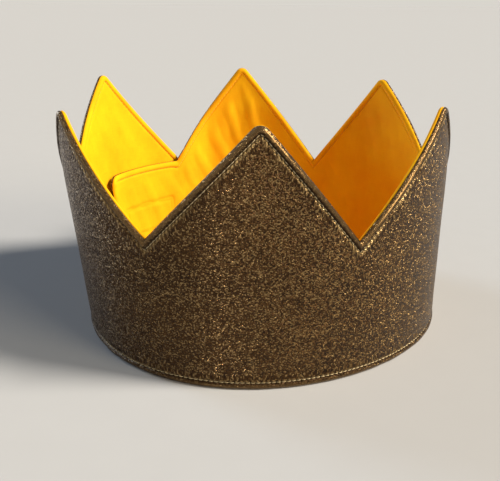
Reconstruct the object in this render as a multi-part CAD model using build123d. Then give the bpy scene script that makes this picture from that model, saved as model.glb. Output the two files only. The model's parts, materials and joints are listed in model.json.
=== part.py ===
from build123d import *
import math
import os

# A sewn dress-up crown: one padded strip with six points, closed into a ring by a tongue and tape.
# Lengths are in millimetres and angles in degrees. Angle 0 is the front, at -Y, and angles grow
# towards +X. The strip starts at its outer end, behind on the left, runs round the front and the
# right, and comes back inside itself as the tongue. The ring stands on the plane Z = 0.

# Ring
ring_radius = 88.0  # to the middle of the wall, at the table
side_spread = 2.3  # wider from side to side, and narrower from front to back, by this much
corner_sag = 1.8  # three soft corners left by the way the strip was rolled up
top_flare = 3.6  # the ring opens upwards by this much
lean_left = 6.2  # the points stand over to the left by this much
lean_front = 1.1  # and a little forwards

# Band and points
point_height = 113.5  # table to the tips
band_height = 63.5  # table to the dips between the points
point_count = 6
tip_radius = 4.0

# Hand-cut differences, from the front point round to the right
point_drift = (0.0, 2.1, 3.3, 0.5, -1.8, -2.0)  # along the band
point_trim = (-0.3, -0.6, 0.2, 2.5, 2.1, -2.3)  # in height
dip_drift = (-5.1, 0.3, 1.4, 0.0, 1.5, -2.2)  # the dip after each point, along the band
dip_trim = (0.5, -0.3, -2.6, -2.5, 0.2, 2.2)  # in height

# Closure
closed_dip = 3  # the strip's two ends meet in the dip after this point, counted from 0
end_overlap = 4.3  # the two half dips lie over each other by this much
tongue_length = 57.0  # past the inner half dip
tongue_corner = 6.0
end_corner = 3.0  # corner of the outer end
joggle_run = 26.0  # length over which the inner end steps in under the outer one
joggle_past = 2.8  # the step ends this far past the outer end's edge
end_flat = 0.06  # share of the bead that stays flat at the very ends
end_lift = 0.8  # the outer end stands out
end_lift_run = 20.0
tip_lift = 1.5  # the tongue's free end stands in from the lining
tip_lift_run = 10.0

# Layers of the wall
gold_ply = 0.95
core_thickness = 1.5
lining_ply = 0.45
ply_gap = 0.05  # between neighbouring layers

# Turned and stitched rim
rim_half = 1.9  # half the thickness of the bead along every edge
stitch_inset = 3.2  # edge to the stitch line
stitch_sink = 0.45  # how deep the stitches pull the cloth in
dimple_end = 5.0  # edge to where the cloth is flat again
rest_flat = 0.15  # the rim is pressed flat by this much where it stands on the table
allowance = 6.0  # cloth turned in behind the edge
end_slack = 0.3  # the core stops this far short of the turned cloth

# Hook and loop tape
tape_height = 19.0
tape_middle = 29.4  # table to the middle of the tape
hook_length = 40.0
loop_length = 47.0
hook_thickness = 0.65
loop_thickness = 0.65
tape_gap = 0.1  # between the two tapes
seat_gap = 0.1  # between a tape and its cloth
tape_start = 6.0  # past the inner half dip

# The two faces of the wall, as the sign of an offset
GOLD = 1
LINING = -1

# Flats that stand for the curves
wide_step = 7.5  # along the ring, in degrees
lap_step = 4.0  # near the closure
tip_flats = 2  # on each side of a round tip
bead_flats = {GOLD: 3, LINING: 2}  # over each half of the rim's bead

wall = gold_ply + ply_gap + core_thickness + ply_gap + lining_ply
skin = wall / 2
gold_back = skin - gold_ply
lining_back = skin - lining_ply
lap_depth = wall + seat_gap + hook_thickness + tape_gap + loop_thickness + seat_gap
pitch = 360.0 / point_count


def turn(length):
    """The angle that a length along the band takes up."""
    return math.degrees(length / ring_radius)


def run_of(angle):
    """The length along the band that an angle takes up."""
    return math.radians(angle) * ring_radius


def ease(share):
    """A smooth step from 0 to 1."""
    share = min(max(share, 0.0), 1.0)
    return share * share * (3 - 2 * share)


closing = pitch * (closed_dip + 0.5) + turn(dip_drift[closed_dip])
outer_end = closing - turn(end_overlap / 2) - 360
inner_foot = closing + turn(end_overlap / 2)
tongue_end = inner_foot + turn(tongue_length)
joggle_end = outer_end + 360 + turn(joggle_past)
joggle_start = joggle_end - turn(joggle_run)
end_height = band_height + dip_trim[closed_dip]


def wall_shift(angle):
    """How far the middle of the wall stands out from the plain ring, near the closure."""
    step_in = lap_depth * ease((angle - joggle_start) / turn(joggle_run))
    lift_out = end_lift * ease(1 - (angle - outer_end) / turn(end_lift_run))
    lift_in = tip_lift * ease(1 - (tongue_end - angle) / turn(tip_lift_run))
    return lift_out - step_in - lift_in


def place(angle, height, offset):
    """The point on the strip at an angle and a height, offset outwards from the wall's middle."""
    bend = math.radians(angle)
    radius = ring_radius - side_spread * math.cos(2 * bend) - corner_sag * math.sin(3 * bend)
    radius += top_flare * height / point_height + wall_shift(angle) + offset
    x = radius * math.sin(bend) - lean_left * height / point_height
    y = -radius * math.cos(bend) - lean_front * height / point_height
    return Vector(x, y, height)


class Flank:
    """One straight side of a point, from its round tip down to a dip."""

    def __init__(self, tip, dip):
        self.tip_angle, self.tip_height = tip
        self.dip_angle, self.dip_height = dip
        self.run = run_of(abs(self.dip_angle - self.tip_angle))
        self.centre = self.tip_height - tip_radius
        rise = self.centre - self.dip_height
        self.slope = math.atan2(rise, self.run) + math.asin(tip_radius / math.hypot(rise, self.run))
        self.stretch = 1 / math.cos(self.slope)
        self.dip_stretch = self.stretch

    def tangent(self):
        """The angle from the tip at which the round tip meets the straight side."""
        return turn(tip_radius * math.sin(self.slope))

    def height(self, angle, inset):
        """Height of the line that lies inset from the edge."""
        along = run_of(abs(angle - self.tip_angle))
        small = tip_radius - inset
        if small > 0 and along < small * math.sin(self.slope):
            return self.centre + math.sqrt(small * small - along * along)
        edge = self.centre + tip_radius * self.stretch - along * math.tan(self.slope)
        stretch = self.stretch + (self.dip_stretch - self.stretch) * along / self.run
        return edge - inset * stretch


def points_of_strip():
    """Tips and dips in the order of the strip, from the outer end to the tongue's root."""
    tips = []
    dips = []
    order = list(range(closed_dip + 1 - point_count, closed_dip + 1))
    for number in order:
        i = number % point_count
        tips.append((pitch * number + turn(point_drift[i]), point_height + point_trim[i]))
        dips.append((pitch * (number + 0.5) + turn(dip_drift[i]), band_height + dip_trim[i]))
    dips[-1] = (inner_foot, end_height)
    dips.insert(0, (outer_end, end_height))
    return tips, dips


tips, dips = points_of_strip()
flanks = []
for tip, before, after in zip(tips, dips[:-1], dips[1:]):
    flanks.append(Flank(tip, before))
    flanks.append(Flank(tip, after))
for left, right in zip(flanks[1:-1:2], flanks[2::2]):
    shared = (left.stretch + right.stretch) / 2
    left.dip_stretch = shared
    right.dip_stretch = shared
flanks[-1].dip_stretch = (flanks[-1].stretch + 1) / 2


def from_end(angle, end):
    """Length along the band between an angle and one of the strip's ends."""
    return run_of(abs(angle - end))


def corner_drop(angle):
    """How far the rounded corners at the strip's two ends pull an edge in."""
    for radius, end in ((end_corner, outer_end), (tongue_corner, tongue_end)):
        short = radius - from_end(angle, end)
        if short > 0:
            return radius - math.sqrt(radius * radius - short * short)
    return 0.0


def top_line(angle, inset):
    """Height of the line inset from the top edge."""
    if angle > inner_foot:
        root = flanks[-1].dip_stretch
        share = ease((angle - inner_foot) / turn(allowance))
        return end_height - corner_drop(angle) - inset * (root + (1 - root) * share)
    for flank in flanks:
        low, high = sorted((flank.tip_angle, flank.dip_angle))
        if low <= angle <= high:
            return flank.height(angle, inset) - corner_drop(angle)
    raise ValueError(f"no cloth at angle {angle}")


def end_roundness(angle):
    """Share of the full thickness that is left near the strip's two ends."""
    edge = min(from_end(angle, outer_end), from_end(angle, tongue_end))
    share = min(max(edge / rim_half, end_flat), 1.0)
    return math.sqrt(1 - (1 - share) ** 2)


def rim(side, face):
    """The rim on one face, from the seam over the bead and through the stitch dimple."""
    flats = bead_flats[face]
    rolls = [math.radians(90 * i / flats) for i in range(1, flats + 1)]
    bead = [(rim_half * (1 - math.cos(roll)), rim_half * math.sin(roll)) for roll in rolls]
    dimple = [(stitch_inset, skin - stitch_sink), (dimple_end, skin)]
    spots = [(0, ply_gap / 2), *bead, *dimple]
    return [(side, inset, face * offset) for inset, offset in spots]


def cloth_face(face):
    """The visible side of a cloth, from the top seam down to the bottom seam."""
    return rim("top", face) + rim("foot", face)[::-1]


def turned_cloth(face, back):
    """A cloth whose edge is turned in as far as the wall's middle, and which is one ply beyond that."""
    seam = face * ply_gap / 2
    ply = face * back
    turned = [("foot", allowance, seam), ("foot", allowance, ply)]
    return cloth_face(face) + turned + [("top", allowance, ply), ("top", allowance, seam)]


def slab(low, high, inner, outer):
    """A plain four-sided section."""
    return [(*low, inner), (*high, inner), (*high, outer), (*low, outer)]


def section(angle, outline):
    """A closed section of the strip at one angle."""
    corners = []
    rounded = end_roundness(angle)
    for side, inset, offset in outline:
        if side == "top":
            height = top_line(angle, inset)
        elif side == "foot":
            height = inset + corner_drop(angle) - rest_flat
        else:
            height = inset
        corners.append(place(angle, height, offset * rounded))
    return Wire.make_polygon(corners)


def drawn(stations, outline):
    """The solid drawn in flats through the sections at the given angles."""
    return Solid.make_loft([section(angle, outline) for angle in stations], ruled=True)


def spread(start, end):
    """Evenly spaced angles, closer together near the closure."""
    near = start < outer_end + pitch / 4 or end > inner_foot - pitch / 4
    step = lap_step if near else wide_step
    count = max(2, math.ceil((end - start) / step))
    return [start + (end - start) * i / count for i in range(count + 1)]


def round_tip(before, tip, after):
    """The angles of the flats round a tip, close enough together to read as a curve."""
    shares = [i / tip_flats for i in range(tip_flats)]
    rising = [before + (tip - before) * share for share in shares]
    return rising + [tip + (after - tip) * share for share in shares] + [after]


def spans():
    """The stretches of the strip between its closed ends, each as the angles of its sections."""
    found = []
    start = outer_end + turn(allowance)
    for (tip, _), left, right in zip(tips, flanks[::2], flanks[1::2]):
        before = tip - left.tangent()
        after = tip + right.tangent()
        found.append(spread(start, before))
        found.append(round_tip(before, tip, after))
        found.append(spread(after, right.dip_angle))
        start = right.dip_angle
    found.append(spread(start, tongue_end - turn(allowance)))
    return found


def end_stations(end, inwards):
    """The angles of the sections of a closed end."""
    lengths = (0, 0.15 * rim_half, 0.5 * rim_half, rim_half, (rim_half + allowance) / 2, allowance)
    stations = [end + inwards * turn(length) for length in lengths]
    return sorted(stations)


def whole_cloth(face, back):
    """One cloth of the strip, with its turned edges and closed ends, pressed flat on the table."""
    pieces = [drawn(stations, turned_cloth(face, back)) for stations in spans()]
    pieces.append(drawn(end_stations(outer_end, 1), cloth_face(face)))
    pieces.append(drawn(end_stations(tongue_end, -1), cloth_face(face)))
    return pieces[0].fuse(*pieces[1:]).split(Plane.XY, Keep.TOP)


def core():
    """The stiff padding between the two cloths, cut to lie inside the turned edges."""
    top = ("top", allowance + ply_gap)
    foot = ("foot", allowance + ply_gap)
    outline = slab(foot, top, ply_gap - lining_back, gold_back - ply_gap)
    stretches = spans()
    stretches[0][0] += turn(end_slack)
    stretches[-1][-1] -= turn(end_slack)
    pieces = [drawn(stations, outline) for stations in stretches]
    return pieces[0].fuse(*pieces[1:])


def tape(start, length, inner, outer):
    """A strip of tape that lies along the wall, bent over the same flats as the cloth."""
    end = start + turn(length)
    bends = {angle for stretch in spans() for angle in stretch if start < angle < end}
    low = ("level", tape_middle - tape_height / 2)
    high = ("level", tape_middle + tape_height / 2)
    return drawn(sorted(bends | {start, end}), slab(low, high, inner, outer))


def hook_tape():
    """The hook tape, on the outer face of the tongue."""
    inner = skin + seat_gap
    return tape(inner_foot + turn(tape_start), hook_length, inner, inner + hook_thickness)


def loop_tape():
    """The loop tape, on the lining of the outer end."""
    outer = -skin - seat_gap
    start = inner_foot - 360 + turn(tape_start)
    return tape(start, loop_length, outer - loop_thickness, outer)


def model():
    """The separate pieces of the crown by name."""
    return {
        "gold_shell": whole_cloth(GOLD, gold_back),
        "yellow_lining": whole_cloth(LINING, lining_back),
        "stiffener": core(),
        "hook_tape": hook_tape(),
        "loop_tape": loop_tape(),
    }


os.makedirs("parts", exist_ok=True)
for name, solid in model().items():
    export_step(solid, f"parts/{name}.step")
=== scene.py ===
"""Dressed model of a sewn fabric crown: its cloths, stitches, core, tapes, light and camera."""

import bisect
import json
import logging
import math
from dataclasses import dataclass
from enum import Enum
from typing import Callable, Sequence

import bmesh
import bpy
from mathutils import Matrix, Vector, noise

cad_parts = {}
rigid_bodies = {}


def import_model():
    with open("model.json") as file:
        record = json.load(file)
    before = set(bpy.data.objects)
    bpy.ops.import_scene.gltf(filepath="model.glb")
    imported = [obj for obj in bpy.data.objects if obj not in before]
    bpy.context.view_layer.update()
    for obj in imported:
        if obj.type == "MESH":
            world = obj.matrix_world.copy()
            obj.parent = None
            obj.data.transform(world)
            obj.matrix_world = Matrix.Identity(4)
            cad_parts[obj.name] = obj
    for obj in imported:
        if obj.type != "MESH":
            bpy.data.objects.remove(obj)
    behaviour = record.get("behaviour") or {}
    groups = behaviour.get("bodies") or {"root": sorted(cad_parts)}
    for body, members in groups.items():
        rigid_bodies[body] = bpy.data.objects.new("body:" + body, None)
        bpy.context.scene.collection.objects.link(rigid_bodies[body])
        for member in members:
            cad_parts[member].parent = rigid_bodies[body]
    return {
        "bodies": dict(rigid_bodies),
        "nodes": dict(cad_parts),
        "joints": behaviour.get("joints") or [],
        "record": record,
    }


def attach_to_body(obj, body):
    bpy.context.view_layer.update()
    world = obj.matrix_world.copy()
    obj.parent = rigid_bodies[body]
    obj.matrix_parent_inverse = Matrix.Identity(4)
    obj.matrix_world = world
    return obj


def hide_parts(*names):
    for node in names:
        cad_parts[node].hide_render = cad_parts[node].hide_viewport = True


LOG = logging.getLogger("crown")
MM = 0.001
BODY = "root"
# Marks that the cloths carry: wear on the rim, painted shade in the stitched crease and painted highlight
# on the humps between the stitches.
MARKS = ("wear", "crease", "hump")


class Face(Enum):
    """The two faces of the wall, as the sign of an offset from its middle."""

    GOLD = 1
    LINING = -1


class Edge(Enum):
    """What a row of a cloth's section is measured from."""

    TOP = "top edge"
    FOOT = "bottom edge"
    WALL = "wall between the rims"
    BACK = "hidden back of the cloth"


def ease(share: float) -> float:
    """A smooth step from 0 to 1."""
    share = min(max(share, 0.0), 1.0)
    return share * share * (3 - 2 * share)


def bell(value: float, middle: float, width: float) -> float:
    """A soft bump that is 1 at its middle and fades to 0 on both sides."""
    return math.exp(-(((value - middle) / width) ** 2))


def wave_noise(x: float, y: float, seed: float) -> float:
    """Soft repeatable noise from -1 to 1."""
    return noise.noise(Vector((x, y, seed)))


def millimetres(*lengths: float) -> tuple[float, ...]:
    """Lengths given in millimetres, in metres."""
    return tuple(length * MM for length in lengths)


@dataclass(frozen=True)
class StripSizes:
    """Driving sizes of the strip, in metres, with angles in degrees.

    The drifts and trims are the differences of a hand-cut strip, from the front point round to the
    right: drifts lie along the band, and trims are heights.
    """

    # The ring, and how it is out of round and leans
    ring_radius: float = 88.0 * MM
    side_spread: float = 2.3 * MM
    corner_sag: float = 1.8 * MM
    top_flare: float = 3.6 * MM
    lean_left: float = 6.2 * MM
    lean_front: float = 1.1 * MM

    # The points and the dips between them
    point_height: float = 113.5 * MM
    band_height: float = 63.5 * MM
    point_count: int = 6
    tip_radius: float = 4.0 * MM
    point_drift: tuple[float, ...] = millimetres(0.0, 2.1, 3.3, 0.5, -1.8, -2.0)
    point_trim: tuple[float, ...] = millimetres(-0.3, -0.6, 0.2, 2.5, 2.1, -2.3)
    dip_drift: tuple[float, ...] = millimetres(-5.1, 0.3, 1.4, 0.0, 1.5, -2.2)
    dip_trim: tuple[float, ...] = millimetres(0.5, -0.3, -2.6, -2.5, 0.2, 2.2)

    # The closure, where a step in the wall takes the tongue inside the outer end
    closed_dip: int = 3
    end_overlap: float = 4.3 * MM
    tongue_length: float = 57.0 * MM
    tongue_corner: float = 6.0 * MM
    end_corner: float = 3.0 * MM
    joggle_run: float = 26.0 * MM
    joggle_past: float = 2.8 * MM
    end_lift: float = 0.8 * MM
    end_lift_run: float = 20.0 * MM
    tip_lift: float = 1.5 * MM
    tip_lift_run: float = 10.0 * MM
    lap_depth: float = 4.6 * MM

    # The layers of the wall and their rolled and stitched rim
    skin: float = 1.5 * MM
    gold_ply: float = 0.95 * MM
    lining_ply: float = 0.45 * MM
    ply_gap: float = 0.05 * MM
    rim_half: float = 1.9 * MM
    stitch_inset: float = 3.2 * MM
    dimple_end: float = 5.0 * MM
    rest_flat: float = 0.15 * MM
    allowance: float = 6.0 * MM

    # The core and the tapes
    end_slack: float = 0.3 * MM
    core_gap: float = 0.1 * MM
    core_margin: float = 0.05 * MM
    tape_start: float = 6.0 * MM
    tape_height: float = 19.0 * MM
    tape_middle: float = 29.4 * MM
    tape_thickness: float = 0.65 * MM
    tape_gap: float = 0.1 * MM
    tape_edge: float = 0.2 * MM
    hook_length: float = 40.0 * MM
    loop_length: float = 47.0 * MM


class Flank:
    """One straight side of a point, from its round tip down to a dip."""

    def __init__(self, sizes: StripSizes, tip: tuple[float, float], dip: tuple[float, float]) -> None:
        """Work out the slope between a tip and a dip.

        Args:
            sizes: The strip's sizes.
            tip: Angle and height of the tip.
            dip: Angle and height of the dip.
        """
        self.sizes = sizes
        self.tip_angle, self.tip_height = tip
        self.dip_angle, self.dip_height = dip
        self.run = math.radians(abs(self.dip_angle - self.tip_angle)) * sizes.ring_radius
        self.centre = self.tip_height - sizes.tip_radius
        rise = self.centre - self.dip_height
        lean = math.asin(sizes.tip_radius / math.hypot(rise, self.run))
        self.slope = math.atan2(rise, self.run) + lean
        self.stretch = 1 / math.cos(self.slope)
        self.dip_stretch = self.stretch

    def height(self, angle: float, inset: float) -> float:
        """Height of the line that lies inset from the edge.

        Args:
            angle: Angle round the ring.
            inset: Distance in from the edge.

        Returns:
            The height above the table.
        """
        along = math.radians(abs(angle - self.tip_angle)) * self.sizes.ring_radius
        small = self.sizes.tip_radius - inset
        if small > 0 and along < small * math.sin(self.slope):
            return self.centre + math.sqrt(small * small - along * along)
        edge = self.centre + self.sizes.tip_radius * self.stretch - along * math.tan(self.slope)
        stretch = self.stretch + (self.dip_stretch - self.stretch) * along / self.run
        return edge - inset * stretch


class Strip:
    """The flat strip with its points, bent round into a ring and overlapped behind."""

    rounding = 1e-9
    station_gap = 0.3 * MM
    area_step = 1.0 * MM

    def __init__(self, sizes: StripSizes) -> None:
        """Lay out the tips, the dips and the two ends along the ring."""
        self.sizes = sizes
        pitch = 360 / sizes.point_count
        closing = pitch * (sizes.closed_dip + 0.5) + self.turn(sizes.dip_drift[sizes.closed_dip])
        lap = self.turn(sizes.end_overlap / 2)
        self.outer_end = closing - lap - 360
        self.inner_foot = closing + lap
        self.tongue_end = self.inner_foot + self.turn(sizes.tongue_length)
        self.joggle_start = self.outer_end + 360 + self.turn(sizes.joggle_past - sizes.joggle_run)
        self.end_height = sizes.band_height + sizes.dip_trim[sizes.closed_dip]
        self.tips, self.dips = self.points(pitch)
        self.flanks = self.sides()

    def turn(self, length: float) -> float:
        """The angle that a length along the band takes up."""
        return math.degrees(length / self.sizes.ring_radius)

    def run_of(self, angle: float) -> float:
        """The length along the band that an angle takes up."""
        return math.radians(angle) * self.sizes.ring_radius

    def points(self, pitch: float) -> tuple[list[tuple[float, float]], list[tuple[float, float]]]:
        """Tips and dips in the order of the strip.

        Args:
            pitch: The angle from one point to the next.

        Returns:
            The tips and the dips, each as angle and height.
        """
        sizes = self.sizes
        tips, dips = [], []
        for number in range(sizes.closed_dip + 1 - sizes.point_count, sizes.closed_dip + 1):
            i = number % sizes.point_count
            tip_angle = pitch * number + self.turn(sizes.point_drift[i])
            dip_angle = pitch * (number + 0.5) + self.turn(sizes.dip_drift[i])
            tips.append((tip_angle, sizes.point_height + sizes.point_trim[i]))
            dips.append((dip_angle, sizes.band_height + sizes.dip_trim[i]))
        dips[-1] = (self.inner_foot, self.end_height)
        dips.insert(0, (self.outer_end, self.end_height))
        return tips, dips

    def sides(self) -> list[Flank]:
        """The straight sides of all the points, mitred where two of them meet."""
        flanks = []
        for tip, before, after in zip(self.tips, self.dips[:-1], self.dips[1:]):
            flanks.append(Flank(self.sizes, tip, before))
            flanks.append(Flank(self.sizes, tip, after))
        for left, right in zip(flanks[1:-1:2], flanks[2::2]):
            left.dip_stretch = right.dip_stretch = (left.stretch + right.stretch) / 2
        flanks[-1].dip_stretch = (flanks[-1].stretch + 1) / 2
        return flanks

    def wall_shift(self, angle: float) -> float:
        """How far the middle of the wall stands out from the plain ring, near the closure."""
        sizes = self.sizes
        step_in = sizes.lap_depth * ease((angle - self.joggle_start) / self.turn(sizes.joggle_run))
        out = sizes.end_lift * ease(1 - (angle - self.outer_end) / self.turn(sizes.end_lift_run))
        inwards = sizes.tip_lift * ease(1 - (self.tongue_end - angle) / self.turn(sizes.tip_lift_run))
        return out - step_in - inwards

    def place(self, angle: float, height: float, offset: float) -> Vector:
        """The point on the strip at an angle and a height, offset outwards from the wall's middle.

        Args:
            angle: Angle round the ring, 0 in front and growing to the right.
            height: Height above the table.
            offset: Distance outwards from the middle of the wall.

        Returns:
            The point in metres.
        """
        sizes = self.sizes
        bend = math.radians(angle)
        share = height / sizes.point_height
        radius = sizes.ring_radius - sizes.side_spread * math.cos(2 * bend)
        radius += sizes.top_flare * share - sizes.corner_sag * math.sin(3 * bend)
        radius += self.wall_shift(angle) + offset
        x = radius * math.sin(bend) - sizes.lean_left * share
        y = -radius * math.cos(bend) - sizes.lean_front * share
        return Vector((x, y, height))

    def outwards(self, angle: float) -> Vector:
        """The level direction that points out of the ring."""
        bend = math.radians(angle)
        return Vector((math.sin(bend), -math.cos(bend), 0))

    def from_end(self, angle: float) -> float:
        """Length along the band from an angle to the nearer end of the strip."""
        return self.run_of(max(min(angle - self.outer_end, self.tongue_end - angle), 0.0))

    def corner_drop(self, angle: float) -> float:
        """How far the rounded corners at the strip's two ends pull an edge in."""
        ends = ((self.sizes.end_corner, self.outer_end), (self.sizes.tongue_corner, self.tongue_end))
        for radius, end in ends:
            short = min(radius - self.run_of(abs(angle - end)), radius)
            if short > 0:
                return radius - math.sqrt(max(radius * radius - short * short, 0.0))
        return 0.0

    def top_line(self, angle: float, inset: float) -> float:
        """Height of the line inset from the top edge."""
        if angle > self.inner_foot:
            root = self.flanks[-1].dip_stretch
            share = ease((angle - self.inner_foot) / self.turn(self.sizes.allowance))
            slope = root + (1 - root) * share
            return self.end_height - self.corner_drop(angle) - inset * slope
        for flank in self.flanks:
            low, high = sorted((flank.tip_angle, flank.dip_angle))
            if low - self.rounding <= angle <= high + self.rounding:
                return flank.height(angle, inset) - self.corner_drop(angle)
        raise ValueError(f"no cloth at angle {angle}")

    def foot_line(self, angle: float, inset: float) -> float:
        """Height of the line inset from the bottom edge, which is pressed flat on the table."""
        return max(inset + self.corner_drop(angle) - self.sizes.rest_flat, 0.0)

    def stations(self, step: float, start: float | None = None, end: float | None = None) -> list[float]:
        """Angles along the strip, with one at every tip and dip.

        Args:
            step: Largest distance between two stations along the band.
            start: First angle, or the strip's outer end.
            end: Last angle, or the tongue's end.

        Returns:
            The angles in growing order.
        """
        start = self.outer_end if start is None else start
        end = self.tongue_end if end is None else end
        marks = [angle for angle, _ in self.tips + self.dips]
        for flank in self.flanks:
            side = 1 if flank.dip_angle > flank.tip_angle else -1
            tangent = self.turn(self.sizes.tip_radius * math.sin(flank.slope))
            marks.append(flank.tip_angle + side * tangent)
        margin = self.turn(self.station_gap)
        kept = sorted(mark for mark in marks if start + margin < mark < end - margin)
        kinks = [start, *kept, end]
        found = [start]
        for low, high in zip(kinks[:-1], kinks[1:]):
            count = max(1, math.ceil(self.run_of(high - low) / step))
            found += [low + (high - low) * i / count for i in range(1, count + 1)]
        return found

    def cut_area(self, margin: float) -> float:
        """Area of the flat cut in square metres.

        Args:
            margin: Cloth added outside the finished edge.

        Returns:
            The area of the strip with that margin.
        """
        angles = self.stations(self.area_step)
        area, edge = 0.0, 0.0
        for low, high in zip(angles[:-1], angles[1:]):
            run = self.run_of(high - low)
            tall = (self.top_line(low, 0.0) + self.top_line(high, 0.0)) / 2
            area += run * tall
            edge += run + math.hypot(run, self.top_line(high, 0.0) - self.top_line(low, 0.0))
        return area + margin * (edge + 2 * self.end_height)

    def cut_size(self, margin: float) -> tuple[float, float]:
        """Width and length of the rectangle that the flat cut comes out of."""
        tallest = max(height for _, height in self.tips)
        return tallest + 2 * margin, self.run_of(self.tongue_end - self.outer_end) + 2 * margin


@dataclass(frozen=True)
class StitchSizes:
    """Sizes of the machine stitching."""

    pitch: float = 2.25 * MM
    thread: float = 0.23 * MM
    reach: float = 0.92
    seat: float = 0.28 * MM
    arch: float = 0.30 * MM
    sample: float = 0.5 * MM
    tape_row: float = 8.65 * MM
    tape_margin: float = 0.9 * MM


class StitchLine:
    """One row of machine stitches, as a path over the strip."""

    def __init__(self, strip: Strip, path: Sequence[tuple[float, float]], sizes: StitchSizes) -> None:
        """Measure a path.

        Args:
            strip: The strip that it is sewn into.
            path: Angles and heights along the row.
            sizes: Sizes of the stitching.
        """
        self.path = list(path)
        self.angles = [angle for angle, _ in self.path]
        self.lengths = [0.0]
        for (a0, h0), (a1, h1) in zip(self.path[:-1], self.path[1:]):
            self.lengths.append(self.lengths[-1] + math.hypot(strip.run_of(a1 - a0), h1 - h0))
        self.count = max(1, round(self.lengths[-1] / sizes.pitch))
        self.pitch = self.lengths[-1] / self.count

    def at(self, length: float) -> tuple[float, float]:
        """Angle and height at a length along the row."""
        length = min(max(length, 0.0), self.lengths[-1])
        i = min(max(bisect.bisect_left(self.lengths, length), 1), len(self.lengths) - 1)
        low, high = self.lengths[i - 1], self.lengths[i]
        share = (length - low) / (high - low) if high > low else 0.0
        (a0, h0), (a1, h1) = self.path[i - 1], self.path[i]
        return a0 + (a1 - a0) * share, h0 + (h1 - h0) * share

    def phase(self, angle: float) -> float:
        """Position in stitches at an angle, on a row that runs along the band."""
        angles, lengths = self.angles, self.lengths
        i = min(max(bisect.bisect_left(angles, angle), 1), len(angles) - 1)
        share = (angle - angles[i - 1]) / (angles[i] - angles[i - 1])
        share = min(max(share, 0.0), 1.0)
        return (lengths[i - 1] + (lengths[i] - lengths[i - 1]) * share) / self.pitch


class Stitching:
    """All the rows of topstitching on the strip."""

    def __init__(self, strip: Strip, sizes: StitchSizes) -> None:
        """Lay the rows along the edges, the ends and the tapes."""
        self.strip = strip
        self.sizes = sizes
        inset = strip.sizes.stitch_inset
        start = strip.outer_end + strip.turn(inset)
        end = strip.tongue_end - strip.turn(inset)
        angles = strip.stations(sizes.sample, start, end)
        self.top = self.row([(a, strip.top_line(a, inset)) for a in angles])
        self.foot = self.row([(a, strip.foot_line(a, inset)) for a in angles])
        self.ends = [self.upright(start), self.upright(end)]
        tape = strip.inner_foot + strip.turn(strip.sizes.tape_start)
        self.hook = self.box(tape, strip.sizes.hook_length)
        self.loop = self.box(tape - 360, strip.sizes.loop_length)

    def row(self, path: Sequence[tuple[float, float]]) -> StitchLine:
        """One row along a path."""
        return StitchLine(self.strip, path, self.sizes)

    def upright(self, angle: float) -> StitchLine:
        """The row that runs up a strip's end."""
        inset = self.strip.sizes.stitch_inset
        lines = (self.strip.foot_line, self.strip.top_line)
        return self.row([(angle, line(angle, inset)) for line in lines])

    def box(self, start: float, length: float) -> tuple[float, float, float, float]:
        """Lowest and highest angle and height of the rectangle that holds a tape."""
        margin = self.strip.turn(self.sizes.tape_margin)
        middle, half = self.strip.sizes.tape_middle, self.sizes.tape_row
        end = start + self.strip.turn(length)
        return start + margin, end - margin, middle - half, middle + half

    def box_rows(self, box: tuple[float, float, float, float]) -> list[StitchLine]:
        """The four rows round a tape."""
        low, high, bottom, top = box
        angles = self.strip.stations(self.sizes.sample, low, high)
        level = [[(a, h) for a in angles] for h in (bottom, top)]
        upright = [[(a, bottom), (a, top)] for a in (low, high)]
        return [self.row(path) for path in level + upright]

    def rows(self, face: Face) -> list[StitchLine]:
        """Every row that shows on a face."""
        box = self.loop if face is Face.GOLD else self.hook
        return [self.top, self.foot, *self.ends, *self.box_rows(box)]


@dataclass(frozen=True)
class Row:
    """One line of a cloth's section, followed along the whole strip.

    Its inset is in from the edge, its offset out from the wall's middle, its share the way from the
    top line to the foot line, and its around the length of cloth from the edge to it.
    """

    edge: Edge
    inset: float = 0.0
    offset: float = 0.0
    share: float = 0.0
    around: float = 0.0


@dataclass(frozen=True)
class Feel:
    """How a cloth lies: how deep its stitches pull and how it ripples."""

    sink: float
    pucker: float
    bead_ripple: float
    swell: float
    wrinkle: float
    tape_sink: float


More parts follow.
